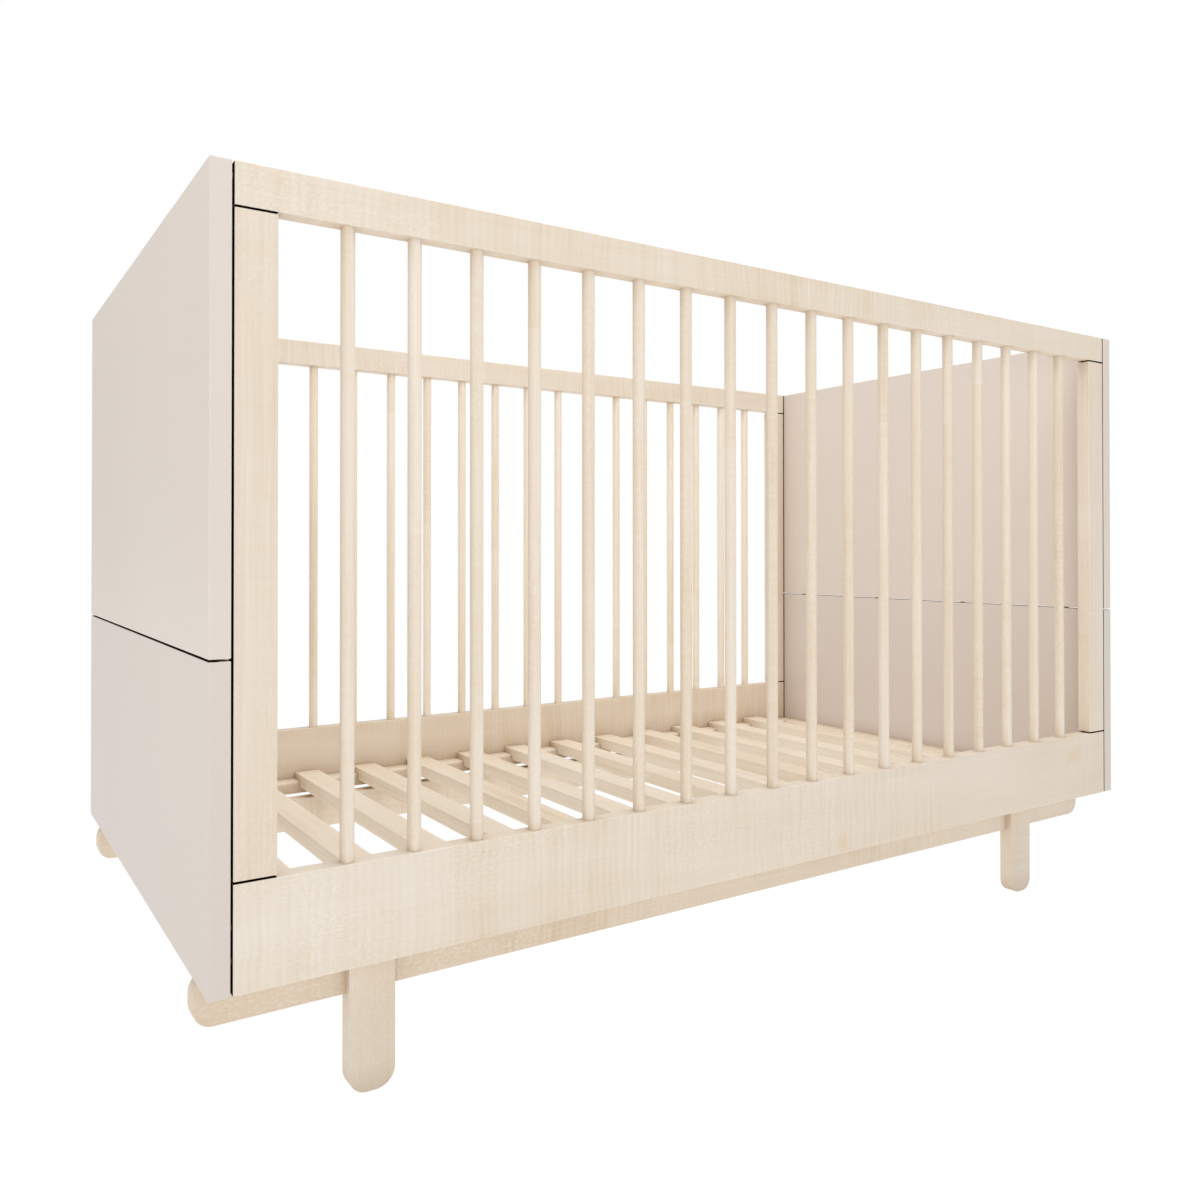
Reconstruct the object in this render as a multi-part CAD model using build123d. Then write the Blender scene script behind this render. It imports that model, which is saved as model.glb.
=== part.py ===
from build123d import *
import os

# A baby crib for a 1400 x 700 mm mattress: two lacquered end panels, two barred side frames, a slatted
# mattress base, and two floor beams on four short legs. Millimetres, Z up, the origin on the floor under
# the middle of the crib, the front towards -Y. The mattress base is at its lowest height.

# The whole crib
LENGTH = 1460.0
DEPTH = 740.0
LEG_LENGTH = 150.0
CASE_HEIGHT = 750.0
BOARD = 20.0  # thickness of panels, rails, posts, beams and legs
SHADOW_GAP = 2.0  # open joint between neighbouring boards
EASE = 1.0  # rounding of sawn edges

# End panels
LOWER_PANEL_HEIGHT = 300.0

# Side frames
TOP_RAIL_HEIGHT = 40.0
BOTTOM_RAIL_HEIGHT = 100.0
POST_WIDTH = 40.0
BAR_COUNT = 18
BAR_DIAMETER = 14.0
BAR_TENON = 15.0  # how far a bar is let into each rail

# Floor beams and legs
BEAM_HEIGHT = 50.0
BEAM_SETBACK = 60.0  # from the crib's front or back plane to the beam's outer face
BEAM_CORNER = 20.0
LEG_WIDTH = 50.0
LEG_FROM_END = 150.0  # from the crib's end to the leg's outer edge
LEG_HOUSING = 10.0  # how deep the leg is let into the beam
LEG_CORNER = 20.0

# Ledges: end cleats and base rails have the same section
LEDGE_WIDTH = 25.0
LEDGE_HEIGHT = 20.0
LEDGE_CORNER = 5.0
LAP = 10.0  # height of the half lap where a base rail lies on a cleat

# Mattress base
BASE_CLEARANCE = 1.0  # play between the base and the frame around it
SLAT_COUNT = 13
SLAT_WIDTH = 40.0
SLAT_HEIGHT = 20.0
SLAT_TONGUE = 10.0  # height of the slat's ends, over the base rails
SLAT_SHOULDER = 13.0  # length of the S-shaped step under each end
FIRST_SLAT = 127.6  # from the crib's end to the middle of the first slat

# Dowels, bolts and screws
DOWEL_DIAMETER = 8.0
DOWEL_DEPTH = 18.0
PANEL_DOWEL_DEPTH = 12.0  # into the face of a panel
BOLT_DIAMETER = 6.0
BOLT_HEAD_DIAMETER = 10.0
BOLT_HEAD_HEIGHT = 6.0
BOLT_SOCKET = 5.0  # across flats
BOLT_RECESS = 16.0
BOLT_BORE = 12.0
BOLT_REACH = 12.0  # into the insert nut
INSERT_DIAMETER = 10.0
INSERT_LENGTH = 14.0
SCREW_DIAMETER = 4.0
SCREW_HEAD_DIAMETER = 8.0
SCREW_LENGTH = 27.0

# Levels and planes worked out from these
HALF_LENGTH = LENGTH / 2
HALF_DEPTH = DEPTH / 2
CASE_BOTTOM = LEG_LENGTH
CASE_TOP = CASE_BOTTOM + CASE_HEIGHT
PANEL_INSIDE = HALF_LENGTH - BOARD
FRAME_INSIDE = HALF_DEPTH - BOARD
FRAME_CENTRE = HALF_DEPTH - BOARD / 2
FRAME_END = PANEL_INSIDE - SHADOW_GAP
POST_INSIDE = FRAME_END - POST_WIDTH
TOP_RAIL_BOTTOM = CASE_TOP - TOP_RAIL_HEIGHT
BOTTOM_RAIL_TOP = CASE_BOTTOM + BOTTOM_RAIL_HEIGHT
GROOVE_BOTTOM = CASE_BOTTOM + LOWER_PANEL_HEIGHT
BEAM_OUTSIDE = HALF_DEPTH - BEAM_SETBACK
BEAM_INSIDE = BEAM_OUTSIDE - BOARD
BEAM_BOTTOM = CASE_BOTTOM - BEAM_HEIGHT
LEG_OUTSIDE = BEAM_OUTSIDE + BOARD - LEG_HOUSING
LEG_INSIDE = LEG_OUTSIDE - BOARD
LEG_CENTRE = HALF_LENGTH - LEG_FROM_END - LEG_WIDTH / 2
LEDGE_TOP = CASE_BOTTOM + LEDGE_HEIGHT
LAP_LEVEL = LEDGE_TOP - LAP
CLEAT_INSIDE = PANEL_INSIDE - LEDGE_WIDTH
BASE_END = PANEL_INSIDE - BASE_CLEARANCE
BASE_SIDE = FRAME_INSIDE - BASE_CLEARANCE
BASE_RAIL_INSIDE = FRAME_INSIDE - LEDGE_WIDTH
SLAT_BOTTOM = LEDGE_TOP + SLAT_TONGUE - SLAT_HEIGHT
SLAT_TOP = LEDGE_TOP + SLAT_TONGUE
BOLT_X = PANEL_INSIDE - LEDGE_WIDTH / 2
BOLT_Y = BEAM_OUTSIDE - BOARD / 2
BOLT_SEAT = BEAM_BOTTOM + BOLT_RECESS

LEFT_RIGHT = {"left": -1, "right": 1}
FRONT_BACK = {"front": -1, "back": 1}


def box_between(low, high):
    """A plain box from its lowest to its highest corner."""
    size = [b - a for a, b in zip(low, high)]
    middle = [(a + b) / 2 for a, b in zip(low, high)]
    return Pos(*middle) * Box(*size)


def board(low, high):
    """A sawn board with all its edges eased."""
    return fillet(box_between(low, high).edges(), EASE)


def peg(start, direction, length, diameter):
    """A round peg, or the hole for one, from a start point along a direction."""
    return Solid.make_cylinder(diameter / 2, length, Plane(origin=start, z_dir=direction))


def mirrored(shape, x_side, y_side):
    """A piece made on the +X, +Y side, moved to the named sides by mirroring."""
    if x_side < 0:
        shape = mirror(shape, about=Plane.YZ)
    if y_side < 0:
        shape = mirror(shape, about=Plane.XZ)
    return shape


def both_ends(shapes):
    return [mirrored(shape, x_side, 1) for shape in shapes for x_side in (-1, 1)]


def both_sides(shapes):
    return [mirrored(shape, 1, y_side) for shape in shapes for y_side in (-1, 1)]


def all_quarters(shapes):
    return both_ends(both_sides(shapes))


def bored(shape, pegs):
    """A board with a hole for each of the pegs."""
    return shape - list(pegs)


def gap_dowel(joint, direction, depth_behind, depth_ahead):
    """A dowel across an open joint, or the hole for one. Its axis enters the gap at the point joint."""
    axis = Vector(direction)
    start = Vector(joint) - axis * depth_behind
    return peg(start, axis, depth_behind + SHADOW_GAP + depth_ahead, DOWEL_DIAMETER)


# ---------------------------------------------------------------- where the dowels go (+X, +Y quarter)

PANEL_DOWEL_Y = (100.0, 300.0)
BOTTOM_RAIL_DOWEL_Z = (CASE_BOTTOM + 30.0, CASE_BOTTOM + 60.0)
TOP_RAIL_DOWEL_Z = (CASE_TOP - 12.0,)
POST_DOWEL_X = (POST_INSIDE + 10.0, POST_INSIDE + 30.0)
LEG_DOWEL_X = (LEG_CENTRE - 12.0, LEG_CENTRE + 12.0)
CLEAT_DOWEL_Y = (-240.0, -120.0, 0.0, 120.0, 240.0)
CLEAT_DOWEL_LENGTHS = (14.0, 12.0)  # in the cleat and in the panel
LEG_DOWEL_LENGTHS = (14.0, 7.0)  # in the leg and in the beam

UP = (0, 0, 1)
OUTWARD = (1, 0, 0)


def panel_dowels():
    """Dowels across the groove of the right-hand panel."""
    x = HALF_LENGTH - BOARD / 2
    return [gap_dowel((x, y * side, GROOVE_BOTTOM), UP, DOWEL_DEPTH, DOWEL_DEPTH)
            for y in PANEL_DOWEL_Y for side in (-1, 1)]


def rail_dowels(heights):
    """Dowels from a back rail's right end into the panel."""
    return [gap_dowel((FRAME_END, FRAME_CENTRE, z), OUTWARD, DOWEL_DEPTH, PANEL_DOWEL_DEPTH)
            for z in heights]


def post_dowels():
    """Dowels at the foot and the head of the back right post."""
    gaps = (BOTTOM_RAIL_TOP, TOP_RAIL_BOTTOM - SHADOW_GAP)
    return [gap_dowel((x, FRAME_CENTRE, z), UP, DOWEL_DEPTH, DOWEL_DEPTH) for x in POST_DOWEL_X for z in gaps]


def cleat_dowels():
    """Blind dowels from the right-hand cleat into the panel."""
    in_cleat, in_panel = CLEAT_DOWEL_LENGTHS
    z = CASE_BOTTOM + LEDGE_HEIGHT / 2
    return [peg((PANEL_INSIDE - in_cleat, y, z), OUTWARD, in_cleat + in_panel, DOWEL_DIAMETER)
            for y in CLEAT_DOWEL_Y]


def leg_dowels():
    """Blind dowels from the back right leg into the beam."""
    in_leg, in_beam = LEG_DOWEL_LENGTHS
    z = CASE_BOTTOM - BEAM_HEIGHT / 2
    return [peg((x, LEG_INSIDE + in_leg, z), (0, -1, 0), in_leg + in_beam, DOWEL_DIAMETER)
            for x in LEG_DOWEL_X]


# ---------------------------------------------------------------- end panels

def lower_panel():
    """The right-hand panel below the groove, with its dowel holes."""
    blank = board((PANEL_INSIDE, -HALF_DEPTH, CASE_BOTTOM), (HALF_LENGTH, HALF_DEPTH, GROOVE_BOTTOM))
    return bored(blank, panel_dowels() + both_sides(rail_dowels(BOTTOM_RAIL_DOWEL_Z)) + cleat_dowels())


def upper_panel():
    """The right-hand panel above the groove, with its dowel holes."""
    bottom = GROOVE_BOTTOM + SHADOW_GAP
    blank = board((PANEL_INSIDE, -HALF_DEPTH, bottom), (HALF_LENGTH, HALF_DEPTH, CASE_TOP))
    return bored(blank, panel_dowels() + both_sides(rail_dowels(TOP_RAIL_DOWEL_Z)))


# ---------------------------------------------------------------- side frames

def bars():
    """The back frame's bars, evenly spaced between the posts."""
    pitch = 2 * POST_INSIDE / (BAR_COUNT + 1)
    length = TOP_RAIL_BOTTOM - BOTTOM_RAIL_TOP + 2 * BAR_TENON
    foot = BOTTOM_RAIL_TOP - BAR_TENON
    return [peg((-POST_INSIDE + number * pitch, FRAME_CENTRE, foot), UP, length, BAR_DIAMETER)
            for number in range(1, BAR_COUNT + 1)]


def frame_rail(bottom, top, end_dowel_heights):
    """A full-length rail of the back frame, bored for the bars, the posts' dowels and its end dowels."""
    blank = board((-FRAME_END, FRAME_INSIDE, bottom), (FRAME_END, HALF_DEPTH, top))
    return bored(blank, bars() + both_ends(post_dowels() + rail_dowels(end_dowel_heights)))


def post():
    """The back right post, which stands between the rails."""
    low = (POST_INSIDE, FRAME_INSIDE, BOTTOM_RAIL_TOP + SHADOW_GAP)
    high = (FRAME_END, HALF_DEPTH, TOP_RAIL_BOTTOM - SHADOW_GAP)
    return bored(board(low, high), post_dowels())


# ---------------------------------------------------------------- floor beams, legs and end cleats

def leg():
    """The back right leg, with rounded lower corners."""
    low = (LEG_CENTRE - LEG_WIDTH / 2, LEG_INSIDE, 0)
    high = (LEG_CENTRE + LEG_WIDTH / 2, LEG_OUTSIDE, CASE_BOTTOM)
    blank = box_between(low, high)
    lower_corners = blank.edges().filter_by(Axis.Y).group_by(Axis.Z)[0]
    blank = fillet(lower_corners, LEG_CORNER)
    blank = fillet(blank.faces().filter_by(Axis.Y).edges(), EASE)
    return bored(blank, leg_dowels())


def beam_bolt():
    """The socket bolt that holds the back beam to the right-hand cleat, from below."""
    head_start = (BOLT_X, BOLT_Y, BOLT_SEAT - BOLT_HEAD_HEIGHT)
    head = peg(head_start, UP, BOLT_HEAD_HEIGHT, BOLT_HEAD_DIAMETER)
    hexagon = Plane(head_start) * RegularPolygon(BOLT_SOCKET / 2, 6, major_radius=False)
    socket = extrude(hexagon, BOLT_HEAD_HEIGHT / 2)
    shank = peg((BOLT_X, BOLT_Y, BOLT_SEAT), UP, CASE_BOTTOM + BOLT_REACH - BOLT_SEAT, BOLT_DIAMETER)
    return head + shank - socket


def insert_nut():
    """The threaded insert in the cleat's underside that the bolt screws into."""
    mouth = (BOLT_X, BOLT_Y, CASE_BOTTOM)
    return peg(mouth, UP, INSERT_LENGTH, INSERT_DIAMETER) - peg(mouth, UP, INSERT_LENGTH, BOLT_DIAMETER)


def floor_beam():
    """The back floor beam, with rounded ends, housings for the legs and bores for the bolts."""
    low = (-HALF_LENGTH, BEAM_INSIDE, BEAM_BOTTOM)
    high = (HALF_LENGTH, BEAM_OUTSIDE, CASE_BOTTOM)
    beam = box_between(low, high)
    beam = fillet(beam.edges().filter_by(Axis.Y), BEAM_CORNER)
    beam = fillet(beam.faces().filter_by(Axis.Y).edges(), EASE)
    housing = box_between(
        (LEG_CENTRE - LEG_WIDTH / 2, LEG_INSIDE, BEAM_BOTTOM),
        (LEG_CENTRE + LEG_WIDTH / 2, BEAM_OUTSIDE, CASE_BOTTOM),
    )
    recess = peg((BOLT_X, BOLT_Y, BEAM_BOTTOM), UP, BOLT_RECESS, BOLT_BORE)
    shank_hole = peg((BOLT_X, BOLT_Y, BEAM_BOTTOM), UP, BEAM_HEIGHT, BOLT_DIAMETER)
    return bored(beam, both_ends([housing, recess, shank_hole] + leg_dowels()))


def end_cleat():
    """The right-hand cleat, with a pocket at each end for the base rails."""
    cleat = box_between((CLEAT_INSIDE, -FRAME_INSIDE, CASE_BOTTOM), (PANEL_INSIDE, FRAME_INSIDE, LEDGE_TOP))
    top_inner_edge = cleat.edges().filter_by(Axis.Y).group_by(Axis.Z)[-1].sort_by(Axis.X)[0]
    cleat = fillet(top_inner_edge, LEDGE_CORNER)
    pocket = box_between(
        (CLEAT_INSIDE, BASE_RAIL_INSIDE - BASE_CLEARANCE, LAP_LEVEL),
        (PANEL_INSIDE, FRAME_INSIDE, LEDGE_TOP),
    )
    insert_hole = peg((BOLT_X, BOLT_Y, CASE_BOTTOM), UP, INSERT_LENGTH, INSERT_DIAMETER)
    return bored(cleat, both_sides([pocket, insert_hole]) + cleat_dowels())


# ---------------------------------------------------------------- mattress base

def slat_screw(x):
    """The countersunk screw that holds one slat's back end, driven from under the base rail."""
    y = (BASE_RAIL_INSIDE + BASE_SIDE) / 2
    head_height = (SCREW_HEAD_DIAMETER - SCREW_DIAMETER) / 2
    plane = Plane((x, y, CASE_BOTTOM))
    head = Solid.make_cone(SCREW_HEAD_DIAMETER / 2, SCREW_DIAMETER / 2, head_height, plane)
    return head + peg((x, y, CASE_BOTTOM), UP, SCREW_LENGTH, SCREW_DIAMETER)


def slat_centres():
    pitch = (LENGTH - 2 * FIRST_SLAT) / (SLAT_COUNT - 1)
    return [-HALF_LENGTH + FIRST_SLAT + number * pitch for number in range(SLAT_COUNT)]


def base_rail():
    """The back rail of the mattress base. Its ends are half laps that lie in the cleats' pockets."""
    rail = box_between((-BASE_END, BASE_RAIL_INSIDE, CASE_BOTTOM), (BASE_END, BASE_SIDE, LEDGE_TOP))
    top_inner_edge = rail.edges().filter_by(Axis.X).group_by(Axis.Z)[-1].sort_by(Axis.Y)[0]
    rail = fillet(top_inner_edge, LEDGE_CORNER)
    under_lap = box_between(
        (CLEAT_INSIDE - BASE_CLEARANCE, BASE_RAIL_INSIDE, CASE_BOTTOM),
        (BASE_END, BASE_SIDE, LAP_LEVEL),
    )
    return bored(rail, both_ends([under_lap]) + [slat_screw(x) for x in slat_centres()])


def slat(centre_x):
    """A slat with thinner ends. Each end has an S-shaped step of two equal arcs under it."""
    step_outside = BASE_RAIL_INSIDE + LEDGE_CORNER
    step_inside = step_outside - SLAT_SHOULDER
    step_middle = ((step_outside + step_inside) / 2, (LEDGE_TOP + SLAT_BOTTOM) / 2)
    half = [
        Line((0, 0, SLAT_TOP), (0, BASE_SIDE, SLAT_TOP)),
        Line((0, BASE_SIDE, SLAT_TOP), (0, BASE_SIDE, LEDGE_TOP)),
        Line((0, BASE_SIDE, LEDGE_TOP), (0, step_outside, LEDGE_TOP)),
        TangentArc((0, step_outside, LEDGE_TOP), (0, *step_middle), tangent=(0, -1, 0)),
        TangentArc((0, step_inside, SLAT_BOTTOM), (0, *step_middle), tangent=(0, 1, 0)),
        Line((0, step_inside, SLAT_BOTTOM), (0, 0, SLAT_BOTTOM)),
    ]
    outline = half + [mirror(edge, about=Plane.XZ) for edge in half]
    body = extrude(make_face(outline), SLAT_WIDTH / 2, dir=(1, 0, 0), both=True)
    body = fillet(body.faces().sort_by(Axis.Z)[-1].edges(), EASE)
    body = Pos(centre_x, 0, 0) * body
    return bored(body, both_sides([slat_screw(centre_x)]))


# ---------------------------------------------------------------- the named pieces

def side_pieces():
    """Pieces that exist once on each side frame."""
    frame_pieces = {
        "top_rail": frame_rail(TOP_RAIL_BOTTOM, CASE_TOP, TOP_RAIL_DOWEL_Z),
        "bottom_rail": frame_rail(CASE_BOTTOM, BOTTOM_RAIL_TOP, BOTTOM_RAIL_DOWEL_Z),
        "bars": Compound(children=bars()),
        "floor_beam": floor_beam(),
    }
    pieces = {}
    for side, sign in FRONT_BACK.items():
        for name, shape in frame_pieces.items():
            pieces[f"{side}_{name}"] = mirrored(shape, 1, sign)
        pieces[f"base_{side}_rail"] = mirrored(base_rail(), 1, sign)
    return pieces


def end_pieces():
    """Pieces that exist once at each end."""
    shapes = {"upper_panel": upper_panel(), "lower_panel": lower_panel(), "end_cleat": end_cleat()}
    return {
        f"{side}_{name}": mirrored(shape, sign, 1)
        for side, sign in LEFT_RIGHT.items()
        for name, shape in shapes.items()
    }


def corner_pieces():
    """Pieces that exist once at each corner."""
    shapes = {"post": post(), "leg": leg()}
    return {
        f"{y_name}_{x_name}_{name}": mirrored(shape, x_sign, y_sign)
        for y_name, y_sign in FRONT_BACK.items()
        for x_name, x_sign in LEFT_RIGHT.items()
        for name, shape in shapes.items()
    }


def fasteners():
    """Groups of identical fasteners, each a set of separate solids."""
    groups = {
        "panel_dowels": both_ends(panel_dowels()),
        "rail_dowels": all_quarters(rail_dowels(BOTTOM_RAIL_DOWEL_Z + TOP_RAIL_DOWEL_Z)),
        "post_dowels": all_quarters(post_dowels()),
        "cleat_dowels": both_ends(cleat_dowels()),
        "leg_dowels": all_quarters(leg_dowels()),
        "beam_bolts": all_quarters([beam_bolt()]),
        "insert_nuts": all_quarters([insert_nut()]),
        "slat_screws": both_sides([slat_screw(x) for x in slat_centres()]),
    }
    return {name: Compound(children=solids) for name, solids in groups.items()}


def slats():
    return {f"slat_{number:02d}": slat(x) for number, x in enumerate(slat_centres(), start=1)}


os.makedirs("parts", exist_ok=True)
for node, shape in (side_pieces() | end_pieces() | corner_pieces() | slats() | fasteners()).items():
    export_step(shape, f"parts/{node}.step")
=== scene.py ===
import math
import random

import bmesh
import bpy
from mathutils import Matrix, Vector


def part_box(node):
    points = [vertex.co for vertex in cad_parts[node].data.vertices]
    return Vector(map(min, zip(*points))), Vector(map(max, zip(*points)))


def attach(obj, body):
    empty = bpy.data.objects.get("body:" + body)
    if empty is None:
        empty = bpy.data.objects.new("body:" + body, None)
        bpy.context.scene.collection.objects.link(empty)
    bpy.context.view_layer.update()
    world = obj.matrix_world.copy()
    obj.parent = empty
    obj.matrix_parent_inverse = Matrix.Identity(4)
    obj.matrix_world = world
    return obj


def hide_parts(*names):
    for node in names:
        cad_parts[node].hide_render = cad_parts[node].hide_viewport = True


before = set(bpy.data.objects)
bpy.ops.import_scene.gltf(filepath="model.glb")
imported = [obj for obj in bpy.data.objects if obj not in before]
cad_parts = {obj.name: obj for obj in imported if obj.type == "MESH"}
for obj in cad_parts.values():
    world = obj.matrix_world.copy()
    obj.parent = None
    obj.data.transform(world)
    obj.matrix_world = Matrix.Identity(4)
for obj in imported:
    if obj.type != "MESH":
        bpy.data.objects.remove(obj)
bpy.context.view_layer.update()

# A baby crib: maple boards with eased edges, 36 turned bars, two lacquered end panels, a slatted base on
# its ledges. Metres, in the frame of the CAD model: X along the crib, the front towards -Y, Z up.

EASE = 0.001  # rounding of sawn edges
ARC_STEPS = 10  # straight parts in a quarter circle
STEP_ARC_STEPS = 8  # straight parts in each arc of a slat's step
BORE_SIDES = 32
BAR_SIDES = 48
BAR_COUNT = 18  # in each side frame
BAR_RADIUS = 0.007
SLAT_COUNT = 13
SLAT_TONGUE = 0.010  # height of a slat's thin ends
SLAT_STEP = 0.013  # length of the S-shaped step under each end
SLAT_SHOULDER = 0.005  # from the base rail's inner face to where the step starts
BEAM_CORNER = 0.020  # rounding of the beams' ends and the legs' feet
LEDGE_CORNER = 0.005
BOLT_HEAD_RADIUS = 0.005
BOLT_RECESS_RADIUS = 0.006
BOLT_RECESS = 0.016
SCREW_HEAD_RADIUS = 0.004
SCREW_HEAD_PLAY = 0.0001
SLACK = 0.01  # how far a cutting body reaches past the piece it cuts
NEAR = 0.00001  # a face's centre this close to an area counts as inside it
FACING = 0.9  # least share of a face's normal along the axis for it to take the painted joint shade
JOINT_SHADE_SLOT = 1  # of each piece's two materials, the one with the painted joint shade
WOOD_CORNER_REACH = 0.038  # how near another board must be for painted shade in a wood corner
# how near another board must be for painted shade in a lacquer corner
LACQUER_CORNER_REACH = 0.070
FLOOR_REACH = 20.0
FLOOR_THICKNESS = 0.020
FLOOR_DROP = 0.001  # below the feet
FRAME_BODY = "crib_frame"
BASE_BODY = "mattress_base"

chance = random.Random(20)


# ---------------------------------------------------------------- materials


class Graph:
    """A new material and short ways to add nodes to it."""

    def __init__(self, name):
        self.material = bpy.data.materials.new(name)
        self.material.use_nodes = True
        self.tree = self.material.node_tree
        self.tree.nodes.clear()

    def node(self, kind, inputs=None, **settings):
        made = self.tree.nodes.new(kind)
        for key, value in settings.items():
            setattr(made, key, value)
        for key, value in (inputs or {}).items():
            if isinstance(value, bpy.types.NodeSocket):
                self.tree.links.new(value, made.inputs[key])
            else:
                made.inputs[key].default_value = value
        return made

    def math(self, operation, a, b=0.0, c=0.0):
        return self.node("ShaderNodeMath", {0: a, 1: b, 2: c}, operation=operation).outputs[0]

    def stretched(self, place, scale):
        """The place times a scale for each direction."""
        return self.node("ShaderNodeVectorMath", {0: place, 1: scale}, operation="MULTIPLY").outputs[0]

    def noise(self, place, scale, detail=2.0, roughness=0.5):
        """Noise from 0 to 1. The scale is in repeats a metre, for each direction."""
        inputs = {
            "Vector": self.stretched(place, scale),
            "Scale": 1.0,
            "Detail": detail,
            "Roughness": roughness,
        }
        return self.node("ShaderNodeTexNoise", inputs).outputs["Fac"]

    def band(self, value, low, high, smooth=True):
        """0 under low, 1 over high."""
        kind = "SMOOTHSTEP" if smooth else "LINEAR"
        inputs = {"Value": value, "From Min": low, "From Max": high}
        return self.node("ShaderNodeMapRange", inputs, interpolation_type=kind).outputs["Result"]

    def between(self, value, low, high):
        """A value from 0 to 1, spread from low to high."""
        inputs = {"Value": value, "To Min": low, "To Max": high}
        return self.node("ShaderNodeMapRange", inputs).outputs["Result"]

    def blend(self, share, a, b):
        """Colour a, and colour b for a share of it."""
        inputs = {"Factor": share, "A": a, "B": b}
        made = self.node("ShaderNodeMix", data_type="RGBA", blend_type="MIX")
        for key, value in inputs.items():
            socket = next(s for s in made.inputs if s.name == key and (key == "Factor" or s.type == "RGBA"))
            if isinstance(value, bpy.types.NodeSocket):
                self.tree.links.new(value, socket)
            else:
                socket.default_value = value
        return next(s for s in made.outputs if s.type == "RGBA")

    def ramp(self, value, stops):
        """A colour for each value. The stops are pairs of a value and its colour."""
        made = self.node("ShaderNodeValToRGB", {"Fac": value})
        line = made.color_ramp
        while len(line.elements) < len(stops):
            line.elements.new(0.5)
        for element, (at, colour) in zip(line.elements, stops):
            element.position = at
            element.color = colour
        return made.outputs["Color"]

    def painted_corner_shade(self, reach):
        """Painted shade: 0 on open faces, near 1 deep in corners where other boards are within reach."""
        share = self.node("ShaderNodeAmbientOcclusion", {"Distance": reach}, samples=8).outputs["AO"]
        return self.math("POWER", self.math("SUBTRACT", 1.0, share), 1.15)

    def bump(self, height, distance, strength, under=None):
        inputs = {"Height": height, "Distance": distance, "Strength": strength}
        if under is not None:
            inputs["Normal"] = under
        return self.node("ShaderNodeBump", inputs).outputs["Normal"]

    def finished(self, shader_inputs):
        shader = self.node("ShaderNodeBsdfPrincipled", shader_inputs)
        out = self.node("ShaderNodeOutputMaterial")
        self.tree.links.new(shader.outputs[0], out.inputs["Surface"])
        return self.material


def attribute(graph, name, output):
    return graph.node("ShaderNodeAttribute", attribute_name=name).outputs[output]


def object_place(graph):
    return graph.node("ShaderNodeTexCoord").outputs["Object"]


def toned(colour, tint):
    return tuple(c * t for c, t in zip(colour, tint)) + (1,)


def spot_at(graph, place, x, z, wide, high):
    """1 round a place on an upright board, fading out at about a width and a height from it."""
    offset = graph.node("ShaderNodeVectorMath", {0: place, 1: (x, 0.0, z)}, operation="SUBTRACT").outputs[0]
    scaled = graph.stretched(offset, (1.0 / wide, 0.0, 1.0 / high))
    away = graph.node("ShaderNodeVectorMath", {0: scaled}, operation="LENGTH").outputs["Value"]
    ragged = graph.math("MULTIPLY_ADD", graph.noise(place, (45.0, 45.0, 45.0), 3.0), 1.1, away)
    return graph.math("SUBTRACT", 1.0, graph.band(ragged, 0.75, 1.65))


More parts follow.
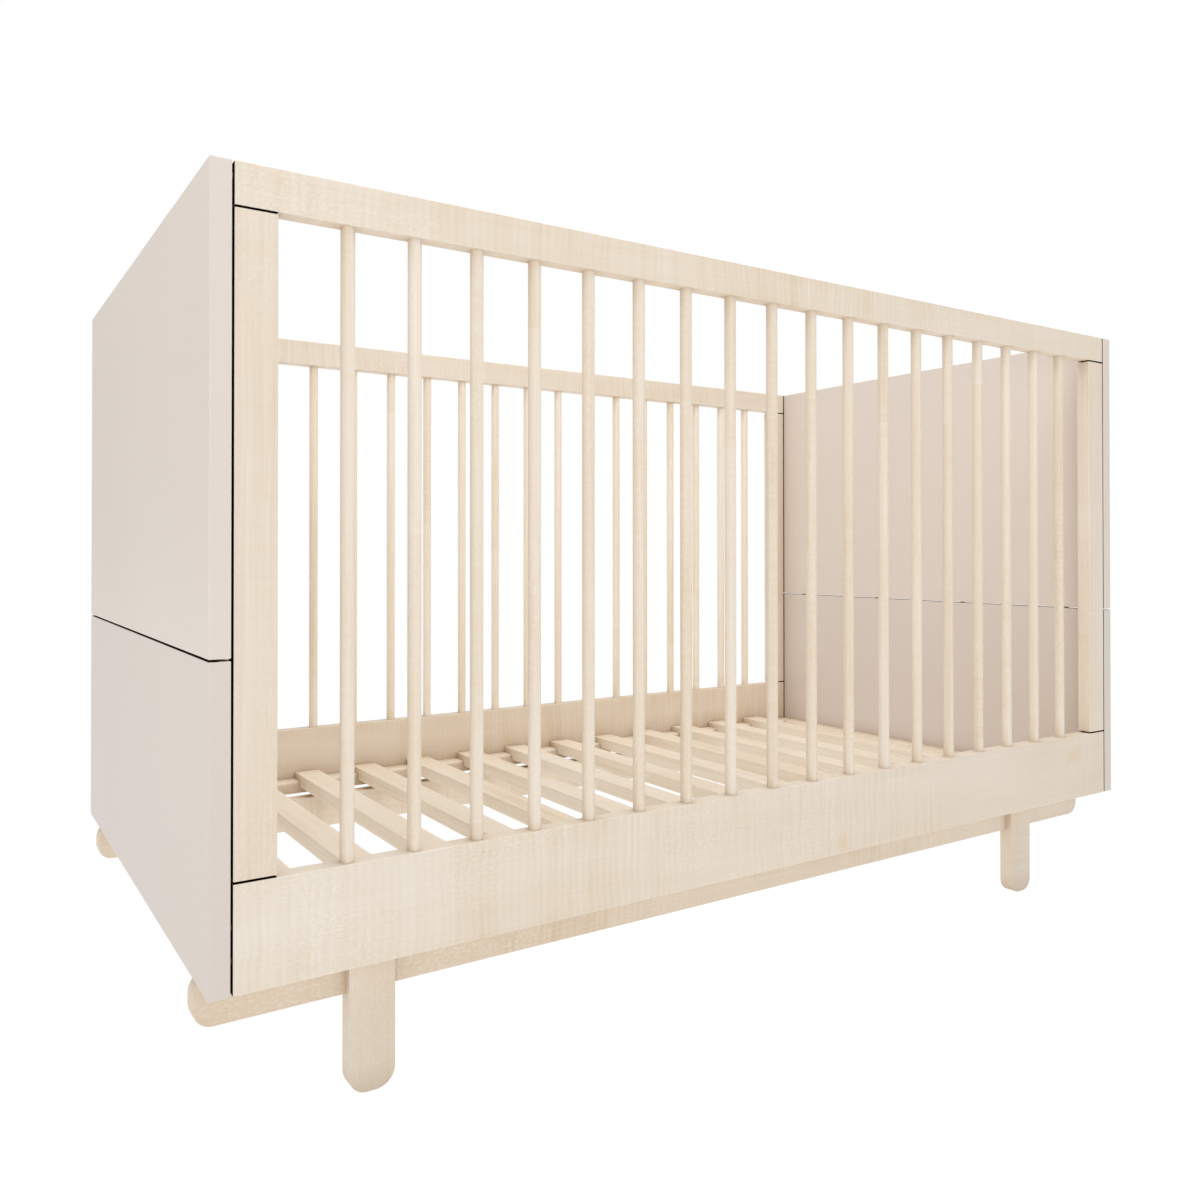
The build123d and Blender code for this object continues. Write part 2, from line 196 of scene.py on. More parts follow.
def maple(name, tint, contrast, curl, flecks, cover, rings, knots=(), mottled=()):
    """Clear-lacquered pale maple. Its pattern follows each mesh's grain attribute, whose X runs along the
    grain. tint scales its colours and contrast all its figure; curl, flecks and rings weigh each kind,
    and cover is the least share of the flecks outside their patches. knots and mottled are places, as x, z,
    width and height."""
    g = Graph(name)
    place = attribute(g, "grain", "Vector")
    split = g.node("ShaderNodeSeparateXYZ", {0: place})
    along = split.outputs[0]

    # Slow changes of tone, over hands and over a board's staves
    slow = g.noise(place, (2.5, 14.0, 14.0), 2.0)
    stave_at = g.math("FLOOR", g.math("MULTIPLY", along, 1.9))
    stave = g.node("ShaderNodeTexWhiteNoise", {"W": stave_at}, noise_dimensions="1D").outputs["Value"]

    # Curly figure: soft bands across the grain, some 9 mm apart, and finer ones 3 mm apart
    lean = g.noise(place, (6.0, 22.0, 22.0), 1.0)
    leaning_along = g.math("MULTIPLY_ADD", lean, 0.012, along)
    leaning = g.node(
        "ShaderNodeCombineXYZ", {0: leaning_along, 1: split.outputs[1], 2: split.outputs[2]}
    ).outputs[0]
    even_bands = g.math("MULTIPLY_ADD", g.math("SINE", g.math("MULTIPLY", leaning_along, 690.0)), 0.16, 0.5)
    bands = g.math(
        "MULTIPLY_ADD", g.noise(leaning, (46.0, 4.0, 4.0), 1.0), 0.55, g.math("MULTIPLY", even_bands, 0.45)
    )
    fine_bands = g.noise(leaning, (190.0, 9.0, 9.0), 1.0)
    where_curly = g.band(g.noise(place, (3.0, 6.0, 6.0), 1.0), 0.34, 0.62)
    where_fine = g.band(g.noise(place, (4.5, 5.0, 5.0), 0.0), 0.40, 0.60)

    # Growth rings round a far-off pith, and the fibres
    from_pith = g.math("ADD", split.outputs[1], 0.09)
    warped = g.math("MULTIPLY_ADD", g.noise(place, (1.6, 9.0, 9.0), 2.0), 0.05, from_pith)
    pith = g.node("ShaderNodeCombineXYZ", {1: warped, 2: split.outputs[2]})
    radius = g.node("ShaderNodeVectorMath", {0: pith.outputs[0]}, operation="LENGTH").outputs["Value"]
    ring = g.math("SINE", g.math("MULTIPLY", radius, 1300.0))
    ring = g.math("MULTIPLY_ADD", ring, 0.5, 0.5)
    fibre = g.noise(place, (14.0, 900.0, 900.0), 2.0, 0.6)
    streak = g.noise(place, (4.0, 160.0, 160.0), 2.0, 0.6)

    curly = g.math("MULTIPLY", g.math("SUBTRACT", bands, 0.5), where_curly)
    finer = g.math("MULTIPLY", g.math("SUBTRACT", fine_bands, 0.5), where_fine)
    parts = [
        (slow, 0.50),
        (stave, 0.14),
        (streak, 0.42 * rings),
        (fibre, 0.18),
        (ring, 0.07 * rings),
    ]
    tone = g.math("MULTIPLY_ADD", curly, 0.62 * curl, -0.5 * sum(weight for _, weight in parts))
    tone = g.math("MULTIPLY_ADD", finer, 0.42 * curl, tone)
    for value, weight in parts:
        tone = g.math("MULTIPLY_ADD", value, weight, tone)
    tone = g.math("MULTIPLY_ADD", tone, contrast, 0.5)

    colour = g.ramp(
        tone,
        [
            (0.0, toned((0.660, 0.520, 0.350), tint)),
            (0.35, toned((0.765, 0.650, 0.510), tint)),
            (0.55, toned((0.795, 0.695, 0.575), tint)),
            (1.0, toned((0.860, 0.790, 0.705), tint)),
        ],
    )

    # Yellowish and pale flecks in some patches, and a few small knot-like spots
    mottle = g.noise(place, (330.0, 520.0, 520.0), 1.0, 0.6)
    mottle = g.band(mottle, 0.50, 0.66)
    patch = g.between(g.band(g.noise(place, (3.6, 7.0, 7.0), 1.0), 0.47, 0.62), cover, 1.0)
    board = object_place(g)
    for mark in mottled:
        patch = g.math("MAXIMUM", patch, g.math("MULTIPLY", spot_at(g, board, *mark), 0.85))
    fleck = g.math("MULTIPLY", g.math("MULTIPLY", mottle, patch), 0.30 * flecks)
    colour = g.blend(fleck, colour, toned((0.770, 0.630, 0.440), tint))
    pale = g.math("SUBTRACT", 1.0, g.band(g.noise(place, (210.0, 380.0, 380.0), 1.0, 0.6), 0.36, 0.50))
    fleck = g.math("MULTIPLY", g.math("MULTIPLY", pale, patch), 0.28 * flecks)
    colour = g.blend(fleck, colour, toned((0.870, 0.805, 0.730), tint))
    cells = g.node(
        "ShaderNodeTexVoronoi",
        {"Vector": g.stretched(place, (2.3, 6.0, 6.0)), "Scale": 1.0},
        distance="EUCLIDEAN",
    ).outputs["Distance"]
    ragged = g.math("MULTIPLY_ADD", g.noise(place, (120.0, 160.0, 160.0), 3.0), 0.06, cells)
    spot = g.math("SUBTRACT", 1.0, g.band(ragged, 0.035, 0.085))
    colour = g.blend(g.math("MULTIPLY", spot, 0.30), colour, toned((0.690, 0.530, 0.330), tint))

    for mark in knots:
        shade = g.math("MULTIPLY", spot_at(g, board, *mark), 0.55)
        colour = g.blend(shade, colour, toned((0.760, 0.610, 0.400), tint))

    # Eased edges, where the lacquer is rubbed thin
    edge = attribute(g, "edge", "Fac")
    rubbed = g.math("MULTIPLY", edge, g.between(g.noise(place, (40.0, 40.0, 40.0), 2.0), 0.35, 1.0))
    colour = g.blend(g.math("MULTIPLY", rubbed, 0.20), colour, toned((0.870, 0.800, 0.710), tint))

    # Painted shade: tight corners, where boards meet, are darkened towards brown
    close = g.painted_corner_shade(WOOD_CORNER_REACH)
    colour = g.blend(g.math("MULTIPLY", close, 0.82), colour, toned((0.420, 0.290, 0.170), tint))

    rough = g.between(g.math("MULTIPLY_ADD", fibre, 0.5, g.math("MULTIPLY", slow, 0.5)), 0.40, 0.60)
    rough = g.math("MULTIPLY_ADD", rubbed, 0.06, rough)
    pores = g.noise(place, (30.0, 1500.0, 1500.0), 1.0)
    normal = g.bump(pores, 0.00012, 0.35)
    normal = g.bump(g.math("ADD", bands, g.math("MULTIPLY", streak, 0.6)), 0.0003, 0.25, normal)
    return g.finished(
        {"Base Color": colour, "Roughness": rough, "Normal": normal, "Specular IOR Level": 0.32, "IOR": 1.45}
    )


def lacquer(name, level):
    """Matt taupe lacquer on the end panels: an even coat with a faint roller texture. level scales its
    lightness."""
    g = Graph(name)
    tint = (level, level, level)
    place = object_place(g)
    slow = g.noise(place, (2.0, 2.0, 2.0), 2.0)
    strokes = g.noise(place, (90.0, 12.0, 420.0), 2.0)
    colour = g.ramp(
        g.math("MULTIPLY_ADD", g.math("SUBTRACT", strokes, 0.5), 0.45, slow),
        [
            (0.0, toned((0.728, 0.646, 0.582), tint)),
            (0.5, toned((0.758, 0.678, 0.612), tint)),
            (1.0, toned((0.786, 0.707, 0.643), tint)),
        ],
    )
    edge = attribute(g, "edge", "Fac")
    rubbed = g.math("MULTIPLY", edge, g.between(g.noise(place, (30.0, 30.0, 30.0), 2.0), 0.3, 1.0))
    colour = g.blend(g.math("MULTIPLY", rubbed, 0.12), colour, (0.830, 0.765, 0.705, 1))
    # Painted shade: corners near other boards are darkened
    close = g.painted_corner_shade(LACQUER_CORNER_REACH)
    colour = g.blend(g.math("MULTIPLY", close, 0.65), colour, (0.430, 0.330, 0.260, 1))
    peel = g.noise(place, (520.0, 520.0, 520.0), 1.0)
    rough = g.between(g.math("MULTIPLY_ADD", strokes, 0.5, g.math("MULTIPLY", slow, 0.5)), 0.42, 0.54)
    normal = g.bump(peel, 0.00006, 0.25)
    normal = g.bump(strokes, 0.00005, 0.3, normal)
    return g.finished(
        {"Base Color": colour, "Roughness": rough, "Normal": normal, "Specular IOR Level": 0.35, "IOR": 1.47}
    )


def painted_joint_shade():
    """Painted shade: black on the faces inside the open joints, for the shade deep in the narrow gaps."""
    g = Graph("joint_painted_shade")
    place = object_place(g)
    shade_variation = g.noise(place, (60.0, 60.0, 60.0), 3.0)
    colour = g.ramp(shade_variation, [(0.3, (0.008, 0.006, 0.005, 1)), (0.75, (0.022, 0.016, 0.012, 1))])
    rough = g.between(shade_variation, 0.75, 0.95)
    normal = g.bump(g.noise(place, (900.0, 900.0, 900.0), 1.0), 0.0001, 0.3)
    return g.finished(
        {"Base Color": colour, "Roughness": rough, "Normal": normal, "Specular IOR Level": 0.05}
    )


def beech():
    """Fluted beech of the dowels."""
    g = Graph("dowel_beech")
    place = object_place(g)
    fibre = g.noise(place, (420.0, 420.0, 420.0), 3.0)
    tick = g.band(g.noise(place, (1400.0, 1400.0, 300.0), 1.0), 0.60, 0.72)
    colour = g.ramp(fibre, [(0.25, (0.50, 0.34, 0.20, 1)), (0.8, (0.64, 0.47, 0.31, 1))])
    colour = g.blend(g.math("MULTIPLY", tick, 0.5), colour, (0.36, 0.20, 0.10, 1))
    rough = g.between(fibre, 0.55, 0.75)
    normal = g.bump(fibre, 0.0002, 0.4)
    return g.finished(
        {"Base Color": colour, "Roughness": rough, "Normal": normal, "Specular IOR Level": 0.25}
    )


def zinc(name, dark, light, low_rough, high_rough):
    """Zinc-plated steel, with a slightly cloudy plating and worn high spots."""
    g = Graph(name)
    place = object_place(g)
    cloud = g.noise(place, (260.0, 260.0, 260.0), 4.0, 0.6)
    scratch = g.noise(place, (2600.0, 2600.0, 240.0), 2.0, 0.7)
    colour = g.ramp(cloud, [(0.25, dark), (0.8, light)])
    worn = g.math("MULTIPLY_ADD", scratch, 0.5, g.math("MULTIPLY", cloud, 0.5))
    rough = g.between(worn, low_rough, high_rough)
    normal = g.bump(scratch, 0.00003, 0.4)
    return g.finished({"Base Color": colour, "Metallic": 1.0, "Roughness": rough, "Normal": normal})


BOARD_LOOK = dict(tint=(1.04, 1.045, 1.055), contrast=1.45, curl=0.85, flecks=1.4, cover=0.05, rings=0.35)
BOARD_MAPLE = maple("maple_boards", **BOARD_LOOK)
FRONT_BOTTOM_MAPLE = maple(
    "maple_front_bottom",
    **BOARD_LOOK,
    knots=[(0.082, 0.165, 0.013, 0.022), (0.62, 0.22, 0.03, 0.02)],
    mottled=[(-0.47, 0.205, 0.055, 0.05), (0.474, 0.2, 0.03, 0.12)],
)
POST_MAPLE = maple(
    "maple_posts", tint=(1.04, 1.045, 1.06), contrast=1.45, curl=0.25, flecks=0.8, cover=0.0, rings=0.8
)
# Painted shade: the beams and legs are tinted darker and more saturated than the boards, for the weaker light
# near the floor; their denser flecks are the wood's own
UNDER_SHADED_MAPLE = maple(
    "maple_underframe_painted_shade", tint=(0.975, 0.96, 0.94), contrast=1.5, curl=0.9, flecks=1.9, cover=0.55, rings=0.5
)
BAR_LOOK = dict(contrast=1.6, curl=0.3, flecks=1.0, cover=0.5, rings=0.8)
BAR_MAPLE = maple("maple_bars", tint=(1.08, 1.09, 1.10), **BAR_LOOK)
# Painted light: the back bars are the same maple as the front ones, made about 7 % lighter for more light
# falling on them
BACK_BAR_LIT_MAPLE = maple("maple_back_bars_painted_light", tint=(1.15, 1.17, 1.19), **BAR_LOOK)
SLAT_MAPLE = maple(
    "maple_slats", tint=(1.06, 1.075, 1.075), contrast=1.4, curl=0.35, flecks=1.0, cover=0.15, rings=1.2
)
# Painted light: both panel parts have one lacquer; the upper part's is made about 5 % lighter than the
# lower's for the light that falls on it
LOWER_LACQUER = lacquer("taupe_lacquer_lower", 0.975)
UPPER_LIT_LACQUER = lacquer("taupe_lacquer_upper_painted_light", 1.03)
JOINT_SHADE = painted_joint_shade()
BEECH = beech()
BOLT_STEEL = zinc("zinc_bolts", (0.52, 0.53, 0.54, 1), (0.70, 0.71, 0.72, 1), 0.22, 0.42)
SCREW_STEEL = zinc("zinc_screws", (0.58, 0.52, 0.38, 1), (0.76, 0.70, 0.54, 1), 0.25, 0.45)


# ------------------------------------------------------------------ meshes


def arc(centre, radius, start, end, steps=ARC_STEPS):
    """Points of an arc, with its two ends, from a start to an end angle in degrees."""
    angles = [math.radians(start + (end - start) * i / steps) for i in range(steps + 1)]
    return [(centre[0] + radius * math.cos(a), centre[1] + radius * math.sin(a)) for a in angles]


def rectangle(low, high):
    return [(low[0], low[1]), (high[0], low[1]), (high[0], high[1]), (low[0], high[1])]


def prism(outline, axis, low, high):
    """An outline, in the plane of the other two axes, carried along an axis from low to high."""

    def at(point, along):
        corner = list(point)
        corner.insert(axis, along)
        return corner

    bm = bmesh.new()
    rings = [[bm.verts.new(at(p, along)) for p in outline] for along in (low, high)]
    for i in range(len(outline)):
        j = (i + 1) % len(outline)
        bm.faces.new((rings[0][i], rings[0][j], rings[1][j], rings[1][i]))
    bm.faces.new(rings[0])
    bm.faces.new(rings[1])
    bmesh.ops.recalc_face_normals(bm, faces=bm.faces)
    return bm


def box_mesh(low, high):
    return prism(rectangle(low[:2], high[:2]), 2, low[2], high[2])


def cut_at(bm, axis, values):
    """Divides the faces at planes across an axis, so that parts of a face can have their own finish."""
    normal = Vector([1.0 if i == axis else 0.0 for i in range(3)])
    for value in values:
        geometry = bm.verts[:] + bm.edges[:] + bm.faces[:]
        bmesh.ops.bisect_plane(bm, geom=geometry, plane_co=normal * value, plane_no=normal)


def linked(name, bm):
    mesh = bpy.data.meshes.new(name)
    bm.to_mesh(mesh)
    bm.free()
    made = bpy.data.objects.new(name, mesh)
    bpy.context.scene.collection.objects.link(made)
    return made


def realized(piece):
    """Applies the piece's modifiers."""
    bpy.context.view_layer.update()
    ready = piece.evaluated_get(bpy.context.evaluated_depsgraph_get())
    mesh = bpy.data.meshes.new_from_object(ready)
    piece.modifiers.clear()
    piece.data = mesh
    mesh.name = piece.name


def cutter(bodies):
    """One object of separate closed bodies that are cut away from a piece."""
    whole = bmesh.new()
    for bm in bodies:
        part = bpy.data.meshes.new("cutter_part")
        bm.to_mesh(part)
        bm.free()
        whole.from_mesh(part)
        bpy.data.meshes.remove(part)
    return linked("cutter", whole)


def bore(centre, radius, low, high):
    """An upright hole."""
    last = 360 * (BORE_SIDES - 1) / BORE_SIDES
    return prism(arc(centre, radius, 0, last, BORE_SIDES - 1), 2, low, high)


def solid(name, bm, finish, eased=EASE, cuts=()):
    """A finished mesh from a sharp one: edges eased, holes cut, and normals that keep the flats flat."""
    piece = linked(name + "_visual", bm)
    piece.data.materials.append(finish)
    piece.data.materials.append(JOINT_SHADE)
    ease = piece.modifiers.new("ease", "BEVEL")
    ease.width = eased
    ease.segments = 3
    ease.limit_method = "ANGLE"
    ease.angle_limit = math.radians(32)
    ease.use_clamp_overlap = False
    ease.material = JOINT_SHADE_SLOT
    tool = None
    if cuts:
        tool = cutter(cuts)
        cut = piece.modifiers.new("cut", "BOOLEAN")
        cut.operation = "DIFFERENCE"
        cut.solver = "EXACT"
        cut.object = tool
    realized(piece)
    if tool is not None:
        bpy.data.objects.remove(tool)
    smoothed(piece)
    mark_edges(piece)
    return piece


def smoothed(piece):
    mesh = piece.data
    mesh.polygons.foreach_set("use_smooth", [True] * len(mesh.polygons))
    mesh.set_sharp_from_angle(angle=math.radians(36))
    weighted = piece.modifiers.new("normals", "WEIGHTED_NORMAL")
    weighted.keep_sharp = True
    weighted.weight = 80
    realized(piece)


def mark_edges(piece):
    """Keeps which faces are eased edges as the edge attribute, and gives them the piece's own finish."""
    mesh = piece.data
    eased = [1.0 if face.material_index == JOINT_SHADE_SLOT else 0.0 for face in mesh.polygons]
    mesh.attributes.new("edge", "FLOAT", "FACE").data.foreach_set("value", eased)
    for face in mesh.polygons:
        face.material_index = 0


def grained(piece, direction):
    """Sets the grain attribute: the place in the board, with X along the grain, at a random place in the
    tree."""
    mesh = piece.data
    turn = {"x": (0, 1, 2), "y": (1, 2, 0), "z": (2, 0, 1)}[direction]
    shift = [chance.uniform(2.0, 30.0) for _ in range(3)]
    values = []
    for vertex in mesh.vertices:
        values.extend(vertex.co[axis] + shift[i] for i, axis in enumerate(turn))
    mesh.attributes.new("grain", "FLOAT_VECTOR", "POINT").data.foreach_set("vector", values)


def paint_joint_shade(piece, areas):
    """Paints black shade on faces in open joints, with the inner part of their eased edges. Each area is
    (axis, sign of the face's normal, low, high)."""
    for face in piece.data.polygons:
        for axis, sign, low, high in areas:
            centre = face.center
            inside = all(low[i] - NEAR <= centre[i] <= high[i] + NEAR for i in range(3))
            if inside and face.normal[axis] * sign > FACING:
                face.material_index = JOINT_SHADE_SLOT


def placed(piece, node, body):
    """The piece stands for a CAD node and rides on its body. The painted joint shade is taken off where no
    face uses it.
    """
    if not any(face.material_index == JOINT_SHADE_SLOT for face in piece.data.polygons):
        piece.data.materials.pop(index=JOINT_SHADE_SLOT)
    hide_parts(node)
    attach(piece, body)


# ------------------------------------------------------------- side frames

SIDES = {"front": -1, "back": 1}
ENDS = {"left": -1, "right": 1}
HUGE = 10.0  # well past the crib on every side
FAR = Vector((HUGE, HUGE, HUGE))


def spread(low, high):
    """The two numbers in order."""
    return (low, high) if low < high else (high, low)


def rails_and_posts():
    """The flat boards of a side frame, with painted black shade on the faces inside the open joints."""
    for side in SIDES:
        rails = {name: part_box(f"{side}_{name}_rail") for name in ("top", "bottom")}
        posts = {end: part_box(f"{side}_{end}_post") for end in ENDS}
        inner = posts["right"][0][0]
        outer = posts["right"][1][0]
        for name, (low, high) in rails.items():
            bm = box_mesh(low, high)
            cut_at(bm, 0, [-inner, inner])
            finish = FRONT_BOTTOM_MAPLE if (side, name) == ("front", "bottom") else BOARD_MAPLE
            piece = solid(f"{side}_{name}_rail", bm, finish)
            grained(piece, "x")
            toward_post = -1 if name == "top" else 1
            paint_joint_shade(
                piece,
                [
                    (0, -1, -FAR, FAR),
                    (0, 1, -FAR, FAR),
                    (2, toward_post, Vector((inner, -HUGE, 0)), FAR),
                    (2, toward_post, -FAR, Vector((-inner, HUGE, HUGE))),
                ],
            )
            placed(piece, f"{side}_{name}_rail", FRAME_BODY)
        for end, sign in ENDS.items():
            low, high = posts[end]
            piece = solid(f"{side}_{end}_post", box_mesh(low, high), POST_MAPLE)
            grained(piece, "z")
            paint_joint_shade(piece, [(0, sign, -FAR, FAR), (2, -1, -FAR, FAR), (2, 1, -FAR, FAR)])
            placed(piece, f"{side}_{end}_post", FRAME_BODY)


def bars():
    """The turned bars of a side frame, let into its rails. Each bar has its own grain."""
    for side in SIDES:
        low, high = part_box(f"{side}_bars")
        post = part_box(f"{side}_right_post")
        pitch = 2 * post[0][0] / (BAR_COUNT + 1)
        middle = (low[1] + high[1]) / 2
        bm = bmesh.new()
        layer = bm.verts.layers.float_vector.new("grain")
        for i in range(BAR_COUNT):
            x = (i - (BAR_COUNT - 1) / 2) * pitch
            shift = Vector([chance.uniform(2.0, 30.0) for _ in range(3)])
            turned = math.radians(chance.uniform(0, 360))
            heights = [low[2], low[2] + EASE, high[2] - EASE, high[2]]
            radii = [BAR_RADIUS - EASE, BAR_RADIUS, BAR_RADIUS, BAR_RADIUS - EASE]
            rings = []
            for z, r in zip(heights, radii):
                ring = []
                for k in range(BAR_SIDES):
                    a = 2 * math.pi * k / BAR_SIDES
                    vert = bm.verts.new((x + r * math.cos(a), middle + r * math.sin(a), z))
                    vert[layer] = shift + Vector((z, r * math.cos(a + turned), r * math.sin(a + turned)))
                    ring.append(vert)
                rings.append(ring)
            for lower, upper in zip(rings, rings[1:]):
                for k in range(BAR_SIDES):
                    n = (k + 1) % BAR_SIDES
                    bm.faces.new((lower[k], lower[n], upper[n], upper[k]))
            bm.faces.new(rings[0][::-1])
            bm.faces.new(rings[-1])
        piece = linked(f"{side}_bars_visual", bm)
        # The back bars take the copy with painted light
        piece.data.materials.append(BAR_MAPLE if side == "front" else BACK_BAR_LIT_MAPLE)
        smoothed(piece)
        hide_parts(f"{side}_bars")
        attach(piece, FRAME_BODY)


# -------------------------------------------------------------- end panels


def panels():
    """The lacquered end panels, each a lower and an upper part. Painted black shade covers the faces that
    meet the side frames and the outer half of the groove between the parts."""
    frame_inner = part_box("back_left_post")[0][1]
    for end, sign in ENDS.items():
        for part in ("lower", "upper"):
            low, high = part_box(f"{end}_{part}_panel")
            bm = box_mesh(low, high)
            middle = (low[0] + high[0]) / 2
            cut_at(bm, 0, [middle])
            cut_at(bm, 1, [-frame_inner, frame_inner])
            piece = solid(f"{end}_{part}_panel", bm, LOWER_LACQUER if part == "lower" else UPPER_LIT_LACQUER)
            grained(piece, "z")
            groove = 1 if part == "lower" else -1
            outer_low, outer_high = spread(middle, sign * HUGE)
            paint_joint_shade(
                piece,
                [
                    (0, -sign, Vector((-HUGE, frame_inner, 0)), FAR),
                    (0, -sign, -FAR, Vector((HUGE, -frame_inner, HUGE))),
                    (2, groove, Vector((outer_low, -HUGE, 0)), Vector((outer_high, HUGE, HUGE))),
                ],
            )
            placed(piece, f"{end}_{part}_panel", FRAME_BODY)


# --------------------------------------------------------- beams and legs


def rounded(low, high, radius, corners):
    """A rectangle's outline with some corners rounded. corners names them: ll, lr, ur, ul."""
    (x0, z0), (x1, z1) = low, high
    points = []
    for name, corner, centre, start in (
        ("ll", (x0, z0), (x0 + radius, z0 + radius), 180),
        ("lr", (x1, z0), (x1 - radius, z0 + radius), 270),
        ("ur", (x1, z1), (x1 - radius, z1 - radius), 0),
        ("ul", (x0, z1), (x0 + radius, z1 - radius), 90),
    ):
        points.extend(arc(centre, radius, start, start + 90) if name in corners else [corner])
    return points


def beams_and_legs():
    """Round-ended beams with housings for the legs and recesses for the bolts' heads, and the legs."""
    for side, toward in SIDES.items():
        low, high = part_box(f"{side}_floor_beam")
        legs = {end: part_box(f"{side}_{end}_leg") for end in ENDS}
        outline = rounded((low[0], low[2]), (high[0], high[2]), BEAM_CORNER, ("ll", "lr", "ur", "ul"))
        cuts = []
        for leg_low, leg_high in legs.values():
            inner = leg_low[1] if toward > 0 else leg_high[1]
            outside = (high[1] if toward > 0 else low[1]) + toward * SLACK
            y0, y1 = spread(inner, outside)
            cuts.append(box_mesh((leg_low[0], y0, low[2] - SLACK), (leg_high[0], y1, high[2] + SLACK)))
        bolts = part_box("beam_bolts")
        for end_sign in (-1, 1):
            x = end_sign * (bolts[1][0] - BOLT_HEAD_RADIUS)
            y = toward * (bolts[1][1] - BOLT_HEAD_RADIUS)
            cuts.append(bore((x, y), BOLT_RECESS_RADIUS, low[2] - SLACK, low[2] + BOLT_RECESS))
        piece = solid(f"{side}_floor_beam", prism(outline, 1, low[1], high[1]), UNDER_SHADED_MAPLE, cuts=cuts)
        grained(piece, "x")
        placed(piece, f"{side}_floor_beam", FRAME_BODY)
        for end, (leg_low, leg_high) in legs.items():
            outline = rounded((leg_low[0], leg_low[2]), (leg_high[0], leg_high[2]), BEAM_CORNER, ("ll", "lr"))
            leg = solid(f"{side}_{end}_leg", prism(outline, 1, leg_low[1], leg_high[1]), UNDER_SHADED_MAPLE)
            grained(leg, "z")
            placed(leg, f"{side}_{end}_leg", FRAME_BODY)


# ----------------------------------------------------------- mattress base


def cleats():
    """Ledges across the ends, with a pocket at each end for the base rails."""
    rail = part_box("base_back_rail")
    pocket = rail[0][1] - EASE
    for end, sign in ENDS.items():
        low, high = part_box(f"{end}_end_cleat")
        which = ("ul",) if sign > 0 else ("ur",)
        outline = rounded((low[0], low[2]), (high[0], high[2]), LEDGE_CORNER, which)
        level = (low[2] + high[2]) / 2
        cuts = [
            box_mesh((low[0] - SLACK, y0, level), (high[0] + SLACK, y1, high[2] + SLACK))
            for y0, y1 in ((low[1] - SLACK, -pocket), (pocket, high[1] + SLACK))
        ]
        piece = solid(f"{end}_end_cleat", prism(outline, 1, low[1], high[1]), BOARD_MAPLE, cuts=cuts)
        grained(piece, "y")
        placed(piece, f"{end}_end_cleat", FRAME_BODY)


SLATS = [f"slat_{i + 1:02d}" for i in range(SLAT_COUNT)]


def slat_centres():
    """The middle of each slat, along the crib."""
    return [sum(corner[0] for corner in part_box(name)) / 2 for name in SLATS]


def base_rails():
    """Long ledges under the slats' ends, half lapped over the cleats."""
    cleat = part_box("right_end_cleat")
    lap = cleat[0][0] - EASE
    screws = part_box("slat_screws")
    screw_y = screws[1][1] - SCREW_HEAD_RADIUS
    for side, toward in SIDES.items():
        low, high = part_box(f"base_{side}_rail")
        which = ("ul",) if toward > 0 else ("ur",)
        outline = rounded((low[1], low[2]), (high[1], high[2]), LEDGE_CORNER, which)
        level = (low[2] + high[2]) / 2
        cuts = [
            box_mesh((x0, low[1] - SLACK, low[2] - SLACK), (x1, high[1] + SLACK, level))
            for x0, x1 in ((low[0] - SLACK, -lap), (lap, high[0] + SLACK))
        ]
        cuts += [
            bore(
                (x, toward * screw_y),
                SCREW_HEAD_RADIUS + SCREW_HEAD_PLAY,
                low[2] - SLACK,
                low[2] + SCREW_HEAD_RADIUS,
            )
            for x in slat_centres()
        ]
        piece = solid(f"base_{side}_rail", prism(outline, 0, low[0], high[0]), BOARD_MAPLE, cuts=cuts)
        grained(piece, "x")
        placed(piece, f"base_{side}_rail", BASE_BODY)


def slats():
    """Slats with thin ends over the base rails, and an S-shaped step down to their full height."""
    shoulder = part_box("base_back_rail")[0][1] + SLAT_SHOULDER
    foot = shoulder - SLAT_STEP
    radius = (SLAT_STEP**2 + SLAT_TONGUE**2) / (4 * SLAT_TONGUE)
    sweep = math.degrees(math.asin((SLAT_STEP / 2) / radius))
    for name in SLATS:
        low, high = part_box(name)
        waist = low[2] + SLAT_TONGUE
        upper = arc((shoulder, waist - radius), radius, 90, 90 + sweep, STEP_ARC_STEPS)
        lower = arc((foot, low[2] + radius), radius, 270 + sweep, 270, STEP_ARC_STEPS)[1:]
        quarter = [(high[1], high[2]), (high[1], waist), *upper, *lower]
        outline = quarter + [(-y, z) for y, z in reversed(quarter)]
        piece = solid(name, prism(outline, 0, low[0], high[0]), SLAT_MAPLE)
        grained(piece, "y")
        placed(piece, name, BASE_BODY)


rails_and_posts()
bars()
panels()
beams_and_legs()
cleats()
base_rails()
slats()


# ------------------------------------------- CAD nodes with a better finish

FASTENERS = {
    "panel_dowels": BEECH,
    "rail_dowels": BEECH,
    "post_dowels": BEECH,
    "cleat_dowels": BEECH,
    "leg_dowels": BEECH,
    "beam_bolts": BOLT_STEEL,
    "insert_nuts": SCREW_STEEL,
    "slat_screws": SCREW_STEEL,
}
for node, finish in FASTENERS.items():
    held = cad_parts[node]
    held.data.materials.clear()
    held.data.materials.append(finish)


# ------------------------------------------------ floor, light and camera


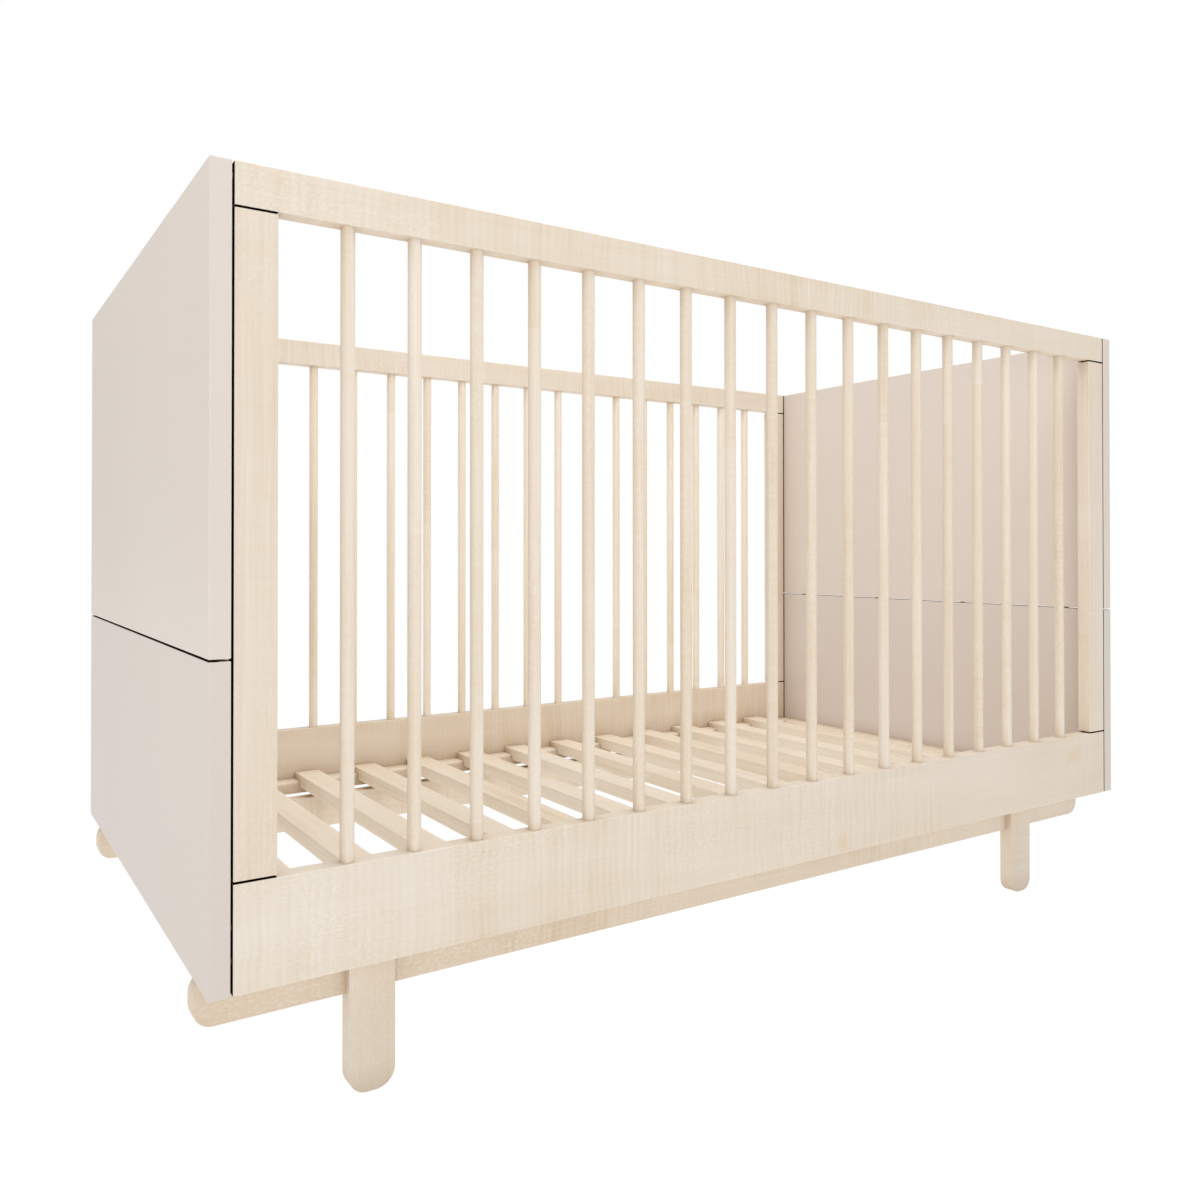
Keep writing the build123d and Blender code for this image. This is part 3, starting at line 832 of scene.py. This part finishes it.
def pale_floor():
    """A pale floor that shows nearly white, with only a faint shadow under the crib."""
    g = Graph("pale_floor")
    place = object_place(g)
    cloud = g.noise(place, (0.6, 0.6, 0.6), 2.0)
    colour = g.ramp(cloud, [(0.0, (0.90, 0.90, 0.90, 1)), (1.0, (0.96, 0.96, 0.96, 1))])
    paint = g.node("ShaderNodeBsdfDiffuse", {"Color": colour})
    glow = g.node("ShaderNodeEmission", {"Color": (1, 1, 1, 1), "Strength": 1.05})
    mixed = g.node("ShaderNodeMixShader", {0: 0.92, 1: paint.outputs[0], 2: glow.outputs[0]})
    out = g.node("ShaderNodeOutputMaterial")
    g.tree.links.new(mixed.outputs[0], out.inputs["Surface"])
    return g.material


floor_low = (-FLOOR_REACH, -FLOOR_REACH, -FLOOR_DROP - FLOOR_THICKNESS)
floor = linked("floor", box_mesh(floor_low, (FLOOR_REACH, FLOOR_REACH, -FLOOR_DROP)))
floor.data.materials.append(pale_floor())


def studio_world(strength):
    """A white room. Its light on the object is softer than the white that shows behind it."""
    world = bpy.data.worlds.new("studio")
    world.use_nodes = True
    tree = world.node_tree
    background = tree.nodes["Background"]
    background.inputs["Color"].default_value = (1.0, 1.0, 1.0, 1)
    path = tree.nodes.new("ShaderNodeLightPath")
    level = tree.nodes.new("ShaderNodeMapRange")
    level.inputs["To Min"].default_value = strength
    level.inputs["To Max"].default_value = 1.0
    tree.links.new(path.outputs["Is Camera Ray"], level.inputs["Value"])
    tree.links.new(level.outputs["Result"], background.inputs["Strength"])
    return world


bpy.context.scene.world = studio_world(0.48)


def area_light(name, place, target, size, power):
    """A square soft light at a place, turned to a target. It does not show in the picture."""
    data = bpy.data.lights.new(name, "AREA")
    data.size = size
    data.energy = power
    lamp = bpy.data.objects.new(name, data)
    bpy.context.scene.collection.objects.link(lamp)
    lamp.location = place
    lamp.rotation_euler = (Vector(target) - Vector(place)).to_track_quat("-Z", "Y").to_euler()
    lamp.visible_camera = False


area_light("overhead", (0.1, -0.4, 2.6), (0.1, 0.1, 0.4), 1.9, 34.0)
area_light("front_left", (-1.5, -2.8, 0.6), (0.0, 0.0, 0.45), 1.5, 9.5)
area_light("near_camera", (-0.94, -1.6, 0.6), (0.0, 0.0, 0.4), 0.7, 1.1)
area_light("upper_left", (-2.6, -0.2, 2.5), (0.0, 0.0, 0.5), 1.4, 13.0)
area_light("side", (-3.0, -0.3, 0.8), (-0.7, 0.0, 0.6), 0.8, 3.2)
area_light("right_side", (3.0, 0.2, 0.7), (0.7, 0.0, 0.5), 0.8, 3.5)

camera_data = bpy.data.cameras.new("camera")
camera_data.sensor_width = 36.0
camera_data.lens = 29.65
camera_data.shift_x = 0.04556
camera_data.shift_y = -0.04788
camera = bpy.data.objects.new("camera", camera_data)
bpy.context.scene.collection.objects.link(camera)
camera.location = (-0.93993, -1.26839, 0.54950)
camera.rotation_euler = (math.pi / 2 + 0.00736, 0.0, -0.55794)
bpy.context.scene.camera = camera

bpy.context.scene.view_settings.view_transform = "Standard"
bpy.context.scene.view_settings.look = "None"
